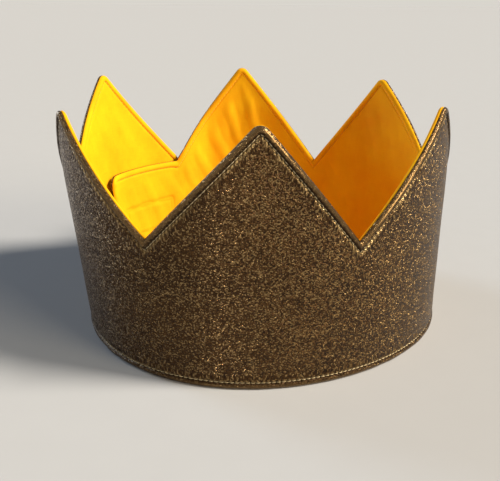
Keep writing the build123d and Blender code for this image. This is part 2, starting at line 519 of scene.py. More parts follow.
class Cloth:
    """One of the two cloths of the wall, with its rolled rim, stitch grooves and turned edge."""

    # Rows of the section, and the step between columns along the strip
    bead_rows = 7
    groove_rows = 5
    dimple_rows = 6
    dimple_crowding = 1.4
    wall_rows = 50
    back_rows = 3
    column = 0.78 * MM

    # The turned edge: its first row inside the fold, and the least offset at the strip's ends
    fold = 0.35 * MM
    thinnest = 0.28 * MM

    # How far the sewing reaches, and the ripples, which fade in over 1 / rim_fade of the wall
    tape_reach = 2.4 * MM
    calm_run = 12 * MM
    end_fade = 3 * MM
    rim_fade = 9
    bead_start = 0.5 * MM
    pucker_in = 1.7 * MM
    pucker_out = 2.2 * MM
    pucker_kept = 0.35

    # Length of the waves along the band and upwards in millimetres, and a seed
    swell_waves = (38, 30, 3.1)
    bead_waves = (7, 60, 8.4)

    # Middle and width of the marks, in from the edge: the worn crest of the rim, the painted highlight on
    # the humps between the stitches, and the painted shade in the crease, which lies just outside the
    # stitches
    worn_at, worn_width = 1.2 * MM, 0.95 * MM
    hump_at, hump_width = 3.95 * MM, 0.5 * MM
    crease_outside, crease_width = 0.3 * MM, 0.62 * MM

    # Which way the cloth rolled round a rim goes on, on the flat cloth
    rolled_way = {Edge.TOP: 1, Edge.FOOT: -1}

    def __init__(self, strip: Strip, stitching: Stitching, face: Face, back: float, feel: Feel) -> None:
        """Prepare a cloth.

        Args:
            strip: The strip that it follows.
            stitching: The rows of stitches that pull it in.
            face: Which face of the wall it is.
            back: Offset of its hidden back from the wall's middle.
            feel: How it lies.
        """
        self.strip = strip
        self.stitching = stitching
        self.face = face
        self.back = back
        self.feel = feel
        self.box = stitching.loop if face is Face.GOLD else stitching.hook
        self.box_lines = stitching.box_rows(self.box)

    def surface(self, depth: float) -> float:
        """Offset of the cloth at a distance in from the nearest edge."""
        sizes = self.strip.sizes
        if depth < sizes.rim_half:
            short = sizes.rim_half - depth
            return math.sqrt(max(sizes.rim_half**2 - short * short, 0.0))
        low = sizes.skin - self.feel.sink
        if depth < sizes.stitch_inset:
            short = (depth - sizes.rim_half) / (sizes.stitch_inset - sizes.rim_half)
            return low + (sizes.rim_half - low) * math.sqrt(max(1 - short * short, 0.0))
        share = min((depth - sizes.stitch_inset) / (sizes.dimple_end - sizes.stitch_inset), 1.0)
        return low + (sizes.skin - low) * (1 - (1 - share) ** 3)

    def section(self) -> list[Row]:
        """The rows of the section, from the hidden back over the top rim to the foot rim and back."""
        sizes = self.strip.sizes
        seam = sizes.ply_gap / 2
        quarter = math.pi / 2
        rim = []
        for i in range(1, self.bead_rows + 1):
            roll = quarter * i / self.bead_rows
            rim.append((sizes.rim_half * (1 - math.cos(roll)), sizes.rim_half * roll))
        flat = sizes.rim_half * quarter
        for i in range(1, self.groove_rows + 1):
            roll = math.sin(quarter * i / self.groove_rows)
            inset = sizes.rim_half + (sizes.stitch_inset - sizes.rim_half) * roll
            rim.append((inset, flat + inset - sizes.rim_half))
        for i in range(1, self.dimple_rows + 1):
            share = (i / self.dimple_rows) ** self.dimple_crowding
            inset = sizes.stitch_inset + (sizes.dimple_end - sizes.stitch_inset) * share
            rim.append((inset, flat + inset - sizes.rim_half))
        turned = [sizes.allowance, sizes.allowance / 2, self.fold]
        found = [Row(Edge.BACK, offset=self.back, share=0.0)]
        found += [Row(Edge.TOP, inset, seam, 0.0, -inset) for inset in turned]
        found += [Row(Edge.TOP, inset, self.surface(inset), 0.0, around) for inset, around in rim]
        for i in range(1, self.wall_rows):
            found.append(Row(Edge.WALL, sizes.dimple_end, sizes.skin, i / self.wall_rows))
        found += [Row(Edge.FOOT, inset, self.surface(inset), 1.0, around) for inset, around in rim[::-1]]
        found += [Row(Edge.FOOT, inset, seam, 1.0, -inset) for inset in turned[::-1]]
        for i in range(self.back_rows, 0, -1):
            found.append(Row(Edge.BACK, offset=self.back, share=i / self.back_rows))
        return found

    def height(self, row: Row, angle: float, lines: Sequence[float]) -> float:
        """Height of a row at an angle.

        Args:
            row: The row.
            angle: The angle round the ring.
            lines: The top and foot lines at the dimple's end, then at the allowance.

        Returns:
            The height above the table.
        """
        if row.edge is Edge.TOP:
            return self.strip.top_line(angle, row.inset)
        if row.edge is Edge.FOOT:
            return self.strip.foot_line(angle, row.inset)
        top, foot = lines[:2] if row.edge is Edge.WALL else lines[2:]
        return top + (foot - top) * row.share

    def waves(self, angle: float, height: float, kind: tuple[float, float, float]) -> float:
        """Soft noise over the cloth.

        Args:
            angle: The angle round the ring.
            height: The height above the table.
            kind: Length of the waves along the band and upwards in millimetres, and a seed.

        Returns:
            The noise there, from -1 to 1.
        """
        along, upwards, seed = kind
        return wave_noise(self.strip.run_of(angle) / MM / along, height / MM / upwards, seed)

    def ripple(self, angle: float, height: float) -> float:
        """How far the cloth of the wall stands off from a plain bend."""
        return self.feel.swell * self.waves(angle, height, self.swell_waves)

    def beat(self, row: Row, angle: float) -> float:
        """1 where a stitch of the row's edge pulls in, and -1 half way to the next."""
        line = self.stitching.top if row.edge is Edge.TOP else self.stitching.foot
        return math.cos(2 * math.pi * line.phase(angle))

    def pucker(self, row: Row, angle: float, height: float) -> float:
        """The small bumps that the stitches leave along the edges."""
        if row.edge not in (Edge.TOP, Edge.FOOT) or row.inset < self.bead_start:
            return 0.0
        pull = self.feel.pucker * self.beat(row, angle)
        past = row.inset - self.strip.sizes.stitch_inset
        if past >= 0:
            fade = max(0.0, 1 - past / self.pucker_in)
            return -pull * fade * math.sqrt(fade)
        fade = max(0.0, 1 + past / self.pucker_out)
        full = self.feel.bead_ripple * self.waves(angle, height, self.bead_waves)
        return full * (1 - fade) - self.pucker_kept * pull * fade

    def tape_dip(self, angle: float, height: float) -> float:
        """How far the stitches round a tape pull the cloth in."""
        low, high, bottom, top = self.box
        inside = min(self.strip.run_of(angle - low), self.strip.run_of(high - angle))
        level = min(height - bottom, top - height)
        if inside >= 0 and level >= 0:
            away = min(inside, level)
        else:
            away = math.hypot(min(inside, 0.0), min(level, 0.0))
        return -self.feel.tape_sink * max(1 - away / self.tape_reach, 0.0) ** 2

    def offset(self, row: Row, angle: float, height: float) -> float:
        """Offset of a row at an angle, with everything that the sewing does to the cloth.

        Args:
            row: The row.
            angle: The angle round the ring.
            height: The height of the row there.

        Returns:
            The offset away from the wall's middle, always positive.
        """
        sizes = self.strip.sizes
        edge = self.strip.from_end(angle)
        seam = sizes.ply_gap / 2
        if row.edge is Edge.BACK:
            return row.offset if edge > sizes.allowance else seam
        if row.offset <= seam:
            return seam
        depth = row.inset if row.edge is not Edge.WALL else 2 * sizes.dimple_end
        base = row.offset
        if edge < depth:
            limit = base if edge < sizes.rim_half else math.inf
            base = max(min(self.surface(edge), limit), self.thinnest)
        detail = self.pucker(row, angle, height)
        if row.edge is Edge.WALL:
            inner = ease(min(row.share, 1 - row.share) * self.rim_fade)
            detail += inner * ease(edge / self.calm_run) * self.ripple(angle, height)
            detail += self.tape_dip(angle, height)
        return max(base + detail * ease(edge / self.end_fade), seam)

    def marks(self, row: Row, angle: float) -> tuple[float, float, float]:
        """Wear, painted shade by depth in the stitched crease and painted highlight on the humps between
        the stitches, each from 0 to 1.
        """
        sizes = self.strip.sizes
        if row.edge not in (Edge.TOP, Edge.FOOT) or row.offset <= sizes.ply_gap:
            return 0.0, 0.0, 0.0
        worn = bell(row.inset, self.worn_at, self.worn_width)
        # Painted shade: the crease mark darkens the cloth in the groove beside the stitches.
        crease = bell(row.inset, sizes.stitch_inset - self.crease_outside, self.crease_width)
        # Painted highlight: the hump mark lightens the cloth where it bulges between the stitches.
        hump = max(-self.beat(row, angle), 0.0) * bell(row.inset, self.hump_at, self.hump_width)
        return worn, crease, hump

    def build(self, name: str, paint: bpy.types.Material) -> bpy.types.Object:
        """Make the cloth as one closed mesh.

        Args:
            name: Name of the piece.
            paint: Its material.

        Returns:
            The new object.
        """
        sizes = self.strip.sizes
        rows = self.section()
        angles = self.strip.stations(self.column)
        grid = Tube(len(angles), len(rows))
        insets = (sizes.dimple_end, sizes.allowance)
        edges = (self.strip.top_line, self.strip.foot_line)
        for i, angle in enumerate(angles):
            lines = [line(angle, inset) for inset in insets for line in edges]
            run = self.strip.run_of(angle - self.strip.outer_end)
            for j, row in enumerate(rows):
                height = self.height(row, angle, lines)
                offset = self.offset(row, angle, height)
                spot = self.strip.place(angle, height, self.face.value * offset)
                rolled = (row.inset - row.around) * self.rolled_way.get(row.edge, 0)
                grid.put(i, j, spot, (run, height + rolled), self.marks(row, angle))
        return grid.finish(name, paint, sharp=70)


@dataclass(frozen=True)
class Crease:
    """A run of loose creases: the way it goes, how it bends, its size, its lowest part and its weight."""

    along: float
    upwards: float
    bend: float
    size: float
    trough: float
    weight: float

    def height(self, run: float, tall: float, bent: float) -> float:
        """How high the cloth stands in the creases.

        Args:
            run: Millimetres along the band.
            tall: Millimetres above the table.
            bent: How far the creases are bent aside there.

        Returns:
            The height, up to the weight.
        """
        wave = math.sin((run * self.along + tall * self.upwards + bent * self.bend) / self.size)
        return self.weight * max(wave, self.trough)


class Lining(Cloth):
    """The inner cloth, thinner and softer, with loose creases between its stitches."""

    slack_waves = (45, 60, 5.7)
    bend_waves = (26, 26, 1.9)
    bend_depth = 5
    loose_at, loose_width = 186, 17
    slanted = Crease(along=0.93, upwards=-0.36, bend=1.0, size=2.3, trough=-0.25, weight=0.6)
    upright = Crease(along=1.0, upwards=0.15, bend=1.6, size=3.4, trough=-0.3, weight=0.4)

    def ripple(self, angle: float, height: float) -> float:
        """Soft creases, strongest behind on the right of the closure."""
        run = self.strip.run_of(angle) / MM
        tall = height / MM
        body = super().ripple(angle, height)
        slack = 0.35 + 0.65 * ease(2 * self.waves(angle, height, self.slack_waves) + 0.5)
        slack = min(slack * 0.55 + 0.75 * bell(angle, self.loose_at, self.loose_width), 1.0)
        bent = self.bend_depth * self.waves(angle, height, self.bend_waves)
        crease = self.slanted.height(run, tall, bent) + self.upright.height(run, tall, bent)
        return body + self.feel.wrinkle * slack * crease


class Tube:
    """A closed band made from a flat grid whose two long sides meet."""

    touching = 1e-7

    def __init__(self, columns: int, rows: int) -> None:
        """Make the flat grid, with one more row than the section has, to close it."""
        self.columns = columns
        self.rows = rows
        self.mesh = bmesh.new()
        bmesh.ops.create_grid(self.mesh, x_segments=columns - 1, y_segments=rows, size=1.0)
        self.spots: dict[tuple[int, int], tuple[Vector, tuple[float, float], Sequence[float]]] = {}

    def put(
        self, i: int, j: int, spot: Vector, flat: tuple[float, float], marks: Sequence[float] = ()
    ) -> None:
        """Set up one crossing.

        Args:
            i: Its column.
            j: Its row.
            spot: Its place.
            flat: Its place on the flat cloth.
            marks: Its wear, painted crease shade and painted hump highlight, where the cloth has any.
        """
        self.spots[i, j] = (spot, flat, marks)

    def finish(self, name: str, paint: bpy.types.Material, sharp: float) -> bpy.types.Object:
        """Move the grid into place, join its sides and close its ends.

        Args:
            name: Name of the piece.
            paint: Its material.
            sharp: Angle in degrees past which an edge is shown sharp.

        Returns:
            The new object.
        """
        grid = self.mesh
        maps = grid.loops.layers.uv.new("flat")
        layers = [grid.verts.layers.float.new(mark) for mark in MARKS]
        flats: dict[int, tuple[float, float]] = {}
        grid.verts.index_update()
        for vert in grid.verts:
            i = round((vert.co.x + 1) / 2 * (self.columns - 1))
            j = round((vert.co.y + 1) / 2 * self.rows)
            spot, flat, marks = self.spots[i, j % self.rows]
            flats[vert.index] = flat
            vert.co = spot
            for layer, mark in zip(layers, marks):
                vert[layer] = mark
        for face in grid.faces:
            face.smooth = True
            for loop in face.loops:
                loop[maps].uv = flats[loop.vert.index]
        bmesh.ops.remove_doubles(grid, verts=grid.verts, dist=self.touching)
        bmesh.ops.dissolve_degenerate(grid, edges=grid.edges, dist=self.touching)
        rims = [edge for edge in grid.edges if edge.is_boundary]
        bmesh.ops.holes_fill(grid, edges=rims, sides=0)
        bmesh.ops.recalc_face_normals(grid, faces=grid.faces)
        return to_object(grid, name, paint, sharp)


def to_object(
    shape: bmesh.types.BMesh, name: str, paint: bpy.types.Material, sharp: float = 40
) -> bpy.types.Object:
    """Turn a finished bmesh into an object of the scene.

    Args:
        shape: The mesh, which is freed.
        name: Name of the piece.
        paint: Its material.
        sharp: Angle in degrees past which an edge is shown sharp.

    Returns:
        The new object, at the origin.
    """
    mesh = bpy.data.meshes.new(name)
    shape.to_mesh(mesh)
    shape.free()
    mesh.materials.append(paint)
    mesh.shade_smooth()
    mesh.set_sharp_from_angle(angle=math.radians(sharp))
    piece = bpy.data.objects.new(name, mesh)
    bpy.context.scene.collection.objects.link(piece)
    return piece


class Thread:
    """The stitches that show on one face."""

    sides = 6
    rings = 5
    narrowing = 0.35
    end_zone = 2.0 * MM
    end_depth = 0.8

    def __init__(self, cloth: Cloth, sizes: StitchSizes) -> None:
        """Sew along the rows of a cloth."""
        self.cloth = cloth
        self.sizes = sizes

    def stitch(self, length: float) -> bmesh.types.BMesh:
        """One arched stitch along X, with its ends pulled down into the cloth."""
        shape = bmesh.new()
        radius = self.sizes.thread
        turned = Matrix.Rotation(math.pi / 2, 4, "Y")
        bmesh.ops.create_cone(
            shape,
            cap_ends=True,
            segments=self.sides,
            radius1=radius,
            radius2=radius,
            depth=length,
            matrix=turned,
        )
        for i in range(1, self.rings):
            cut = length * (i / self.rings - 0.5)
            geometry = list(shape.verts) + list(shape.edges) + list(shape.faces)
            bmesh.ops.bisect_plane(shape, geom=geometry, plane_co=(cut, 0, 0), plane_no=(1, 0, 0))
        for vert in shape.verts:
            share = abs(vert.co.x) / (length / 2)
            slim = 1 - self.narrowing * share**3
            vert.co.y *= slim
            vert.co.z = vert.co.z * slim - self.sizes.arch * share**3
        return shape

    def spot(self, line: StitchLine, length: float) -> Vector:
        """The place of the thread at a length along a row, seated in the cloth."""
        strip, feel = self.cloth.strip, self.cloth.feel
        angle, height = line.at(length)
        groove = strip.sizes.skin - feel.sink
        on_tape = any(line.path[0] == other.path[0] for other in self.cloth.box_lines)
        depth = strip.sizes.skin - feel.tape_sink if on_tape else groove
        if strip.from_end(angle) < self.end_zone:
            depth = groove * self.end_depth
        return strip.place(angle, height, self.cloth.face.value * (depth + self.sizes.seat))

    def seat(self, line: StitchLine, number: int) -> Matrix:
        """The frame of one stitch: along the row, across it and out of the cloth.

        Args:
            line: The row.
            number: The stitch, counted from the row's start.

        Returns:
            The frame as a matrix.
        """
        middle = (number + 0.5) * line.pitch
        before, centre, after = (self.spot(line, middle + line.pitch * i / 3) for i in (-1, 0, 1))
        angle, _ = line.at(middle)
        along = (after - before).normalized()
        out = self.cloth.strip.outwards(angle) * self.cloth.face.value
        across = out.cross(along).normalized()
        frame = Matrix((along, across, along.cross(across))).transposed().to_4x4()
        frame.translation = centre
        return frame

    def build(self, name: str, paint: bpy.types.Material) -> bpy.types.Object:
        """Set every stitch of the face in one piece.

        Args:
            name: Name of the piece.
            paint: Its material.

        Returns:
            The new object.
        """
        whole = bmesh.new()
        for line in self.cloth.stitching.rows(self.cloth.face):
            model = self.stitch(line.pitch * self.sizes.reach)
            template = bpy.data.meshes.new("stitch")
            model.to_mesh(template)
            model.free()
            for number in range(line.count):
                fresh = len(whole.verts)
                whole.from_mesh(template)
                whole.verts.ensure_lookup_table()
                bmesh.ops.transform(whole, matrix=self.seat(line, number), verts=whole.verts[fresh:])
            bpy.data.meshes.remove(template)
        return to_object(whole, name, paint, sharp=80)


class Band:
    """A plain layer that follows the strip: the core or a tape."""

    blunt = 0.35

    def __init__(self, strip: Strip, inner: float, outer: float, soft: float) -> None:
        """Describe a layer.

        Args:
            strip: The strip that it follows.
            inner: Offset of its inner face from the wall's middle.
            outer: Offset of its outer face.
            soft: Radius of its long edges.
        """
        self.strip = strip
        self.inner = inner
        self.outer = outer
        self.soft = soft

    def section(self, rows: int) -> list[tuple[float, float]]:
        """Section of the layer.

        Args:
            rows: Rows on each broad face.

        Returns:
            Pairs of the share of the height and the share of the thickness.
        """
        up = [(i / rows, 1.0) for i in range(rows + 1)]
        down = [(i / rows, 0.0) for i in range(rows, -1, -1)]
        return [(0.0, 0.5), *up, (1.0, 0.5), *down]

    def build(
        self,
        name: str,
        paint: bpy.types.Material,
        angles: Sequence[float],
        low: Callable[[float], float],
        high: Callable[[float], float],
        rows: int = 10,
    ) -> bpy.types.Object:
        """Make the layer between two height lines.

        Args:
            name: Name of the piece.
            paint: Its material.
            angles: Angles of the columns.
            low: Height of its lower edge at an angle.
            high: Height of its upper edge at an angle.
            rows: Rows on each broad face.

        Returns:
            The new object.
        """
        section = self.section(rows)
        grid = Tube(len(angles), len(section))
        thick = self.outer - self.inner
        for i, angle in enumerate(angles):
            bottom, top = low(angle), high(angle)
            end = min(self.strip.run_of(angle - angles[0]), self.strip.run_of(angles[-1] - angle))
            full = math.sqrt(min(end / self.soft, 1.0)) if self.soft else 1.0
            slim = self.blunt + (1 - self.blunt) * full
            for j, (share, depth) in enumerate(section):
                pull = 0.0 if depth == 0.5 else self.soft
                height = bottom + pull + (top - bottom - 2 * pull) * share
                offset = self.inner + thick * (0.5 + (depth - 0.5) * slim)
                run = self.strip.run_of(angle - angles[0])
                grid.put(i, j, self.strip.place(angle, height, offset), (run, height))
        return grid.finish(name, paint, sharp=50)


class Signal:
    """A value that flows through a material, with the usual arithmetic."""

    def __init__(self, recipe: "Recipe", socket: bpy.types.NodeSocket) -> None:
        """Wrap an output socket."""
        self.recipe = recipe
        self.socket = socket

    def output(self, name: str | int) -> "Signal":
        """Another output of the same node."""
        return Signal(self.recipe, self.socket.node.outputs[name])

    def math(self, operation: str, *others: "Signal | float", flip: bool = False) -> "Signal":
        """One Math node on this value and others.

        Args:
            operation: The node's operation.
            others: The further values.
            flip: Whether this value comes last.

        Returns:
            The result.
        """
        values = [*others, self] if flip else [self, *others]
        return self.recipe.add("ShaderNodeMath", {"operation": operation}, dict(enumerate(values)))

    def __add__(self, other: "Signal | float") -> "Signal":
        """Sum."""
        return self.math("ADD", other)

    def __radd__(self, other: float) -> "Signal":
        """Sum."""
        return self.math("ADD", other)

    def __sub__(self, other: "Signal | float") -> "Signal":
        """Difference."""
        return self.math("SUBTRACT", other)

    def __rsub__(self, other: float) -> "Signal":
        """Difference from a number."""
        return self.math("SUBTRACT", other, flip=True)

    def __mul__(self, other: "Signal | float") -> "Signal":
        """Product."""
        return self.math("MULTIPLY", other)

    def __pow__(self, other: float) -> "Signal":
        """Power."""
        return self.math("POWER", other)

    def between(self, low: float, high: float) -> "Signal":
        """The value's smooth share of the way from low to high."""
        settings = {"interpolation_type": "SMOOTHSTEP"}
        return self.recipe.add("ShaderNodeMapRange", settings, {"Value": self, 1: low, 2: high})


class Recipe:
    """Builds the nodes of one material."""

    # Sockets of the Mix node that carry colours
    mix_first, mix_last, mix_result = 6, 7, 2

    def __init__(self, name: str) -> None:
        """Start an empty material with its shader and output."""
        self.material = bpy.data.materials.new(name)
        self.material.use_nodes = True
        self.tree = self.material.node_tree
        self.tree.nodes.clear()
        self.shader = self.tree.nodes.new("ShaderNodeBsdfPrincipled")
        output = self.tree.nodes.new("ShaderNodeOutputMaterial")
        self.tree.links.new(self.shader.outputs[0], output.inputs["Surface"])

    def add(
        self,
        kind: str,
        settings: dict[str, object] | None = None,
        inputs: dict[str | int, object] | None = None,
        output: str | int = 0,
    ) -> Signal:
        """Any node.

        Args:
            kind: The node's type.
            settings: Properties that are set first.
            inputs: Values or signals of its sockets, by name or number.
            output: The output that is wanted.

        Returns:
            That output.
        """
        node = self.tree.nodes.new(kind)
        for key, value in (settings or {}).items():
            setattr(node, key, value)
        for key, value in (inputs or {}).items():
            if isinstance(value, Signal):
                self.tree.links.new(value.socket, node.inputs[key])
            else:
                node.inputs[key].default_value = value
        return Signal(self, node.outputs[output])

    def flat(self, scale: float) -> Signal:
        """Place on the flat cloth, in units of 1/scale metres."""
        place = self.add("ShaderNodeUVMap", {"uv_map": "flat"})
        return self.scaled(place, (scale, scale, scale))

    def vector(self, operation: str, *values: object, output: str | int = 0) -> Signal:
        """One Vector Math node."""
        settings = {"operation": operation}
        return self.add("ShaderNodeVectorMath", settings, dict(enumerate(values)), output)

    def scaled(self, place: Signal, scale: Sequence[float]) -> Signal:
        """A place stretched along its axes."""
        return self.vector("MULTIPLY", place, tuple(scale))

    def mark(self, name: str) -> Signal:
        """A mark that the mesh carries, from 0 to 1."""
        return self.add("ShaderNodeAttribute", {"attribute_name": name}, None, "Fac")

    def noise(self, place: Signal, scale: float, detail: float = 3.0, rough: float = 0.55) -> Signal:
        """Soft noise from 0 to 1."""
        values = {"Vector": place, "Scale": scale, "Detail": detail, "Roughness": rough}
        return self.add("ShaderNodeTexNoise", None, values)

    def blend(
        self, share: Signal, low: Sequence[float] | Signal, high: Sequence[float] | Signal
    ) -> Signal:
        """A colour between two, by a share."""
        first, last = (end if isinstance(end, Signal) else (*end, 1.0) for end in (low, high))
        inputs = {0: share, self.mix_first: first, self.mix_last: last}
        return self.add("ShaderNodeMix", {"data_type": "RGBA"}, inputs, self.mix_result)

    def bump(self, height: Signal, distance: float, strength: float = 1.0) -> Signal:
        """Relief from a height from 0 to 1 over a depth in metres."""
        values = {"Height": height, "Distance": distance, "Strength": strength}
        return self.add("ShaderNodeBump", None, values)

    def dress(self, **sockets: "Signal | float | tuple") -> bpy.types.Material:
        """Set the shader's sockets, with _ for a space in their names.

        Args:
            sockets: Values or signals by the socket's name.

        Returns:
            The finished material.
        """
        for key, value in sockets.items():
            socket = self.shader.inputs[key.replace("_", " ")]
            if isinstance(value, Signal):
                self.tree.links.new(value.socket, socket)
            else:
                socket.default_value = value
        return self.material


@dataclass(frozen=True)
class GoldLeatherette:
    """Antique gold foil on pebbled leatherette, smooth on the rolled rim, with painted shade in its
    stitched seam and painted highlight on the humps between its stitches.
    """

    dark: tuple[float, float, float] = (0.022, 0.010, 0.0035)
    bright: tuple[float, float, float] = (0.125, 0.062, 0.020)
    # Colour of the glitter flakes, also used for the painted highlight on the humps between the stitches.
    spark: tuple[float, float, float] = (0.900, 0.620, 0.270)
    worn: tuple[float, float, float] = (0.150, 0.090, 0.036)
    grain: float = 1.85
    relief: float = 0.34 * MM

    def material(self) -> bpy.types.Material:
        """Build the finish."""
        recipe = Recipe("gold_leatherette")
        place = recipe.flat(1000)
        half = (0.5, 0.5, 0.5)
        sway = recipe.noise(place, 0.9, 2.0, 0.5).output("Color")
        pushed = recipe.vector("MULTIPLY_ADD", sway, half, place)
        values = {"Vector": pushed, "Scale": self.grain}
        cells = recipe.add("ShaderNodeTexVoronoi", {"voronoi_dimensions": "2D"}, values)
        tint = cells.output("Color")
        slant = recipe.vector("SUBTRACT", tint, half)
        away = recipe.vector("SUBTRACT", pushed, cells.output("Position"))
        tilt = recipe.vector("DOT_PRODUCT", slant, away, output="Value")
        chance = recipe.add("ShaderNodeSeparateXYZ", None, {0: tint})
        pebble = cells**2.0
        fine = recipe.noise(place, 2.6, 4.0, 0.65)
        broad = recipe.noise(place, 0.05, 3.0)
        wear, crease, hump = (recipe.mark(name) for name in MARKS)
        tone = (fine * 0.6 + broad * 0.35 + chance * 0.6 - pebble * 0.7).between(0.2, 1.25)
        flake = (chance + fine * 0.4 - pebble * 0.6).between(0.7, 1.15)
        ground = recipe.blend(flake * 0.31, recipe.blend(tone, self.dark, self.bright), self.spark)
        rough = 0.33 + fine * 0.10 - flake * 0.14 - wear * 0.20 - hump * 0.1
        height = tilt * 3.2 - pebble * 0.5 + fine * 0.5
        rim = recipe.blend(wear * 0.8, ground, self.worn)
        # Painted shade darkens the stitched crease, and painted highlight lightens the humps between the
        # stitches.
        sewn = recipe.blend(hump * 0.6, recipe.blend(crease * 0.85, rim, self.dark), self.spark)
        return recipe.dress(
            Base_Color=sewn,
            Metallic=0.9,
            Roughness=rough,
            Normal=recipe.bump(height * (1 - wear), self.relief),
        )


@dataclass(frozen=True)
class YellowCotton:
    """Plain woven golden yellow cotton with slubs and soft creases."""

    deep: tuple[float, float, float] = (0.860, 0.345, 0.003)
    light: tuple[float, float, float] = (0.970, 0.550, 0.006)
    thread: float = 0.34
    relief: float = 0.09 * MM

    def material(self) -> bpy.types.Material:
        """Build the finish."""
        recipe = Recipe("yellow_cotton")
        place = recipe.flat(1000)
        parts = recipe.add("ShaderNodeSeparateXYZ", None, {0: place})
        across = parts.output(1)
        turn = math.pi / self.thread
        warp = (parts * turn).math("SINE")
        weft = (across * turn).math("SINE")
        weave = warp * weft * 0.5 + 0.5
        slub_up = recipe.noise(recipe.scaled(place, (2.6, 0.16, 1.0)), 1.0, 2.0)
        slub_on = recipe.noise(recipe.scaled(place, (0.16, 2.6, 1.0)), 1.0, 2.0)
        cloud = recipe.noise(place, 0.05, 3.0)
        slubs = slub_up * 0.5 + slub_on * 0.5
        tone = (cloud * 0.6 + slubs * 0.5 + weave * 0.12).between(0.3, 0.95)
        height = weave * 0.55 + slubs * 0.45
        return recipe.dress(
            Base_Color=recipe.blend(tone, self.deep, self.light),
            Roughness=0.78 + slubs * 0.12,
            Specular_IOR_Level=0.12,
            Normal=recipe.bump(height, self.relief, 0.8),
        )


@dataclass(frozen=True)
class TwistedThread:
    """Twisted polyester sewing thread."""

    name: str
    dark: tuple[float, float, float]
    light: tuple[float, float, float]
    metallic: float = 0.0

    def material(self) -> bpy.types.Material:
        """Build the finish."""
        recipe = Recipe(self.name)
        place = recipe.add("ShaderNodeTexCoord", None, None, "Object")
        strands = recipe.noise(recipe.scaled(place, (5200, 5200, 2600)), 1.0, 2.0)
        return recipe.dress(
            Base_Color=recipe.blend(strands.between(0.3, 0.7), self.dark, self.light),
            Metallic=self.metallic,
            Roughness=0.45 + strands * 0.2,
            Normal=recipe.bump(strands, 0.05 * MM),
        )


@dataclass(frozen=True)
class StiffFelt:
    """Needle-punched interfacing inside the wall."""

    pale: tuple[float, float, float] = (0.88, 0.87, 0.83)
    grey: tuple[float, float, float] = (0.72, 0.71, 0.67)

    def material(self) -> bpy.types.Material:
        """Build the finish."""
        recipe = Recipe("white_felt")
        place = recipe.flat(1000)
        hairs = recipe.noise(recipe.scaled(place, (1.0, 0.4, 1.0)), 2.2, 5.0, 0.7)
        dots = recipe.add("ShaderNodeTexVoronoi", None, {"Vector": place, "Scale": 0.6})
        return recipe.dress(
            Base_Color=recipe.blend(hairs.between(0.3, 0.7), self.grey, self.pale),
            Roughness=0.9,
            Normal=recipe.bump(hairs * 0.7 + dots * 0.3, 0.2 * MM),
        )


@dataclass(frozen=True)
class FasteningTape:
    """Woven nylon tape with rows of hooks, or with a napped pile of loops."""

    name: str
    pile: bool
    pale: tuple[float, float, float] = (0.90, 0.89, 0.85)
    grey: tuple[float, float, float] = (0.66, 0.65, 0.61)

    def material(self) -> bpy.types.Material:
        """Build the finish."""
        recipe = Recipe(self.name)
        place = recipe.flat(1000)
        if self.pile:
            relief = recipe.noise(place, 2.4, 5.0, 0.75)
        else:
            relief = 1 - recipe.add(
                "ShaderNodeTexVoronoi",
                {"voronoi_dimensions": "2D"},
                {"Vector": recipe.scaled(place, (1.0, 0.8, 1.0)), "Scale": 0.9, "Randomness": 0.15},
            )
        return recipe.dress(
            Base_Color=recipe.blend(relief.between(0.2, 0.8), self.grey, self.pale),
            Roughness=0.75 if self.pile else 0.5,
            Normal=recipe.bump(relief, 0.3 * MM),
        )


@dataclass(frozen=True)
class PaleFloor:
    """The plain pale floor of the studio."""

    colour: tuple[float, float, float] = (0.50, 0.49, 0.48)

    def material(self) -> bpy.types.Material:
        """Build the finish."""
        recipe = Recipe("pale_floor")
        place = recipe.add("ShaderNodeTexCoord", None, None, "Object")
        grain = recipe.noise(place, 60.0, 2.0)
        darker = tuple(0.97 * part for part in self.colour)
        return recipe.dress(
            Base_Color=recipe.blend(grain, darker, self.colour), Roughness=0.9, Specular_IOR_Level=0.0
        )


def attach(piece: bpy.types.Object, finish: str, *nodes: str) -> None:
    """Attach a piece to the crown, hide the nodes that it stands for and log it.

    Args:
        piece: The piece.
        finish: The record's material slot; not used.
        nodes: The nodes that it stands for.
    """
    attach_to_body(piece, BODY)
    if nodes:
        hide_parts(*nodes)
    LOG.info("%s: %d faces", piece.name, len(piece.data.polygons))


